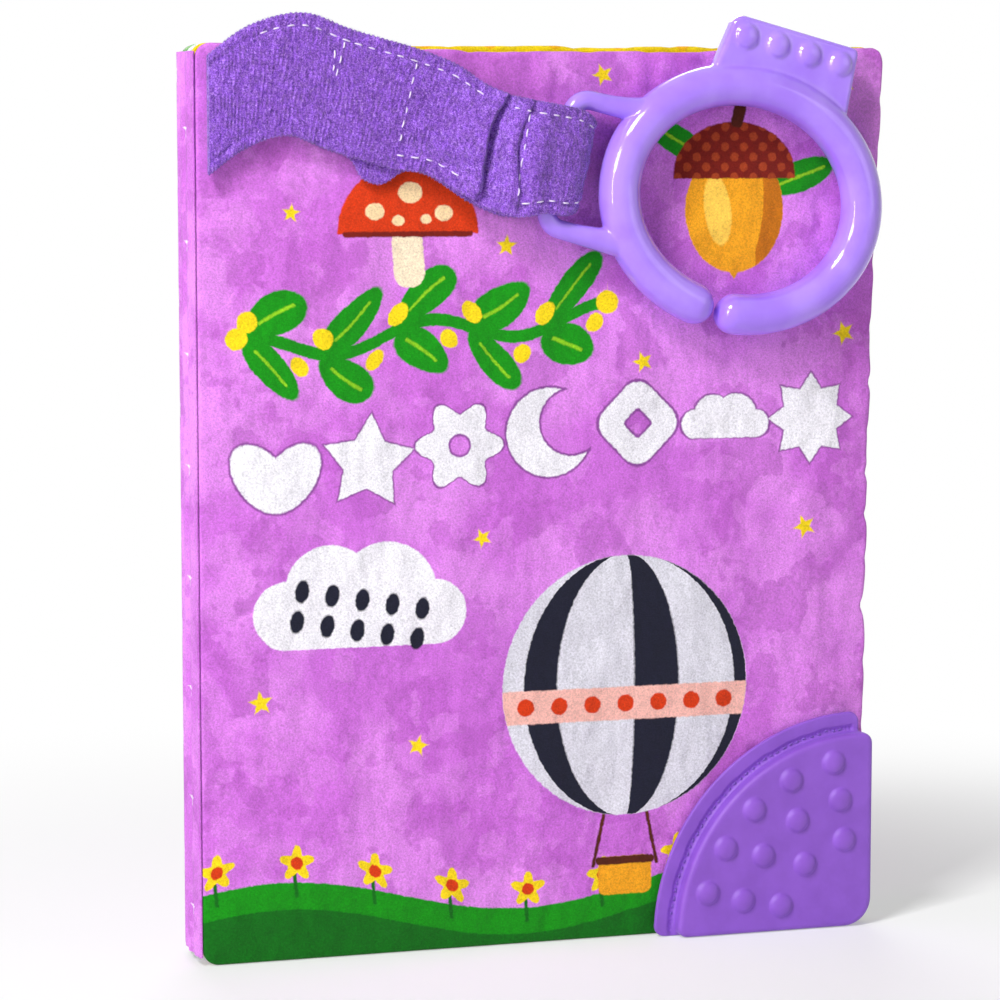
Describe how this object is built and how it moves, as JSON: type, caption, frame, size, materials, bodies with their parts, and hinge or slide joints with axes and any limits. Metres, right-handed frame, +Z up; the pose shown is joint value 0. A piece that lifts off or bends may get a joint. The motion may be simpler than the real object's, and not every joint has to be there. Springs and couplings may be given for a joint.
{
  "type": "crinkle cloth book",
  "caption": "Padded cloth book for a baby, with crinkle leaves on a cloth spine, a stroller strap with an open teether ring, and a rubber corner teether.",
  "frame": {"origin": "the back cover's lower edge, on its outer cloth, half of the cover's full width from the spine; the book stands on this edge", "axes": "+X from the spine to the fore edge, -Y out of the front cover, +Z up"},
  "size_m": [0.1718, 0.0312, 0.2219],
  "materials": {
    "printed_cloth": "brushed polyester cloth, mottled orchid with printed motifs",
    "yellow_cloth": "brushed polyester cloth, plain yellow with small dots",
    "sky_cloth": "brushed polyester cloth, sky blue stripes",
    "green_cloth": "brushed polyester cloth, green check",
    "crinkle_film": "thin crisp film that rustles",
    "wadding": "soft polyester wadding",
    "velour": "ribbed purple velour",
    "ring_plastic": "glossy lavender plastic",
    "corner_rubber": "matt purple silicone rubber"
  },
  "bodies": {
    "back_cover": {"back_cover_outer_cloth": "printed_cloth", "back_cover_lining_cloth": "green_cloth", "back_cover_crinkle_film": "crinkle_film", "back_cover_wadding": "wadding", "spine_panel": "printed_cloth"},
    "leaf_2": {"leaf_2_front_cloth": "sky_cloth", "leaf_2_back_cloth": "green_cloth", "leaf_2_crinkle_film": "crinkle_film", "leaf_2_wadding": "wadding"},
    "leaf_1": {"leaf_1_front_cloth": "yellow_cloth", "leaf_1_back_cloth": "sky_cloth", "leaf_1_crinkle_film": "crinkle_film", "leaf_1_wadding": "wadding"},
    "front_cover": {"front_cover_outer_cloth": "printed_cloth", "front_cover_lining_cloth": "yellow_cloth", "front_cover_crinkle_film": "crinkle_film", "front_cover_wadding": "wadding", "corner_teether": "corner_rubber"},
    "strap": {"strap": "velour"},
    "ring": {"teether_ring": "ring_plastic"}
  },
  "joints": [
    {"name": "leaf_2_turn", "type": "hinge", "parent": "back_cover", "child": "leaf_2", "pos_m": [-0.085, -0.0031, 0.1075], "axis": [0, 0, -1], "range_deg": [0, 45], "deforming": ["spine_panel"]},
    {"name": "leaf_1_turn", "type": "hinge", "parent": "leaf_2", "child": "leaf_1", "pos_m": [-0.085, -0.0084, 0.1075], "axis": [0, 0, -1], "range_deg": [0, 45], "deforming": ["spine_panel"]},
    {"name": "front_cover_open", "type": "hinge", "parent": "leaf_1", "child": "front_cover", "pos_m": [-0.085, -0.0137, 0.1075], "axis": [0, 0, -1], "range_deg": [0, 150], "deforming": ["spine_panel"]},
    {"name": "strap_swing", "type": "hinge", "parent": "front_cover", "child": "strap", "pos_m": [-0.0835, -0.01881, 0.1975], "axis": [0, 0, -1], "range_deg": [0, 45]},
    {"name": "ring_swing", "type": "hinge", "parent": "strap", "child": "ring", "pos_m": [0.00011, -0.02415, 0.18792], "axis": [-0.2588, 0, -0.9659], "range_deg": [0, 75]}
  ]
}
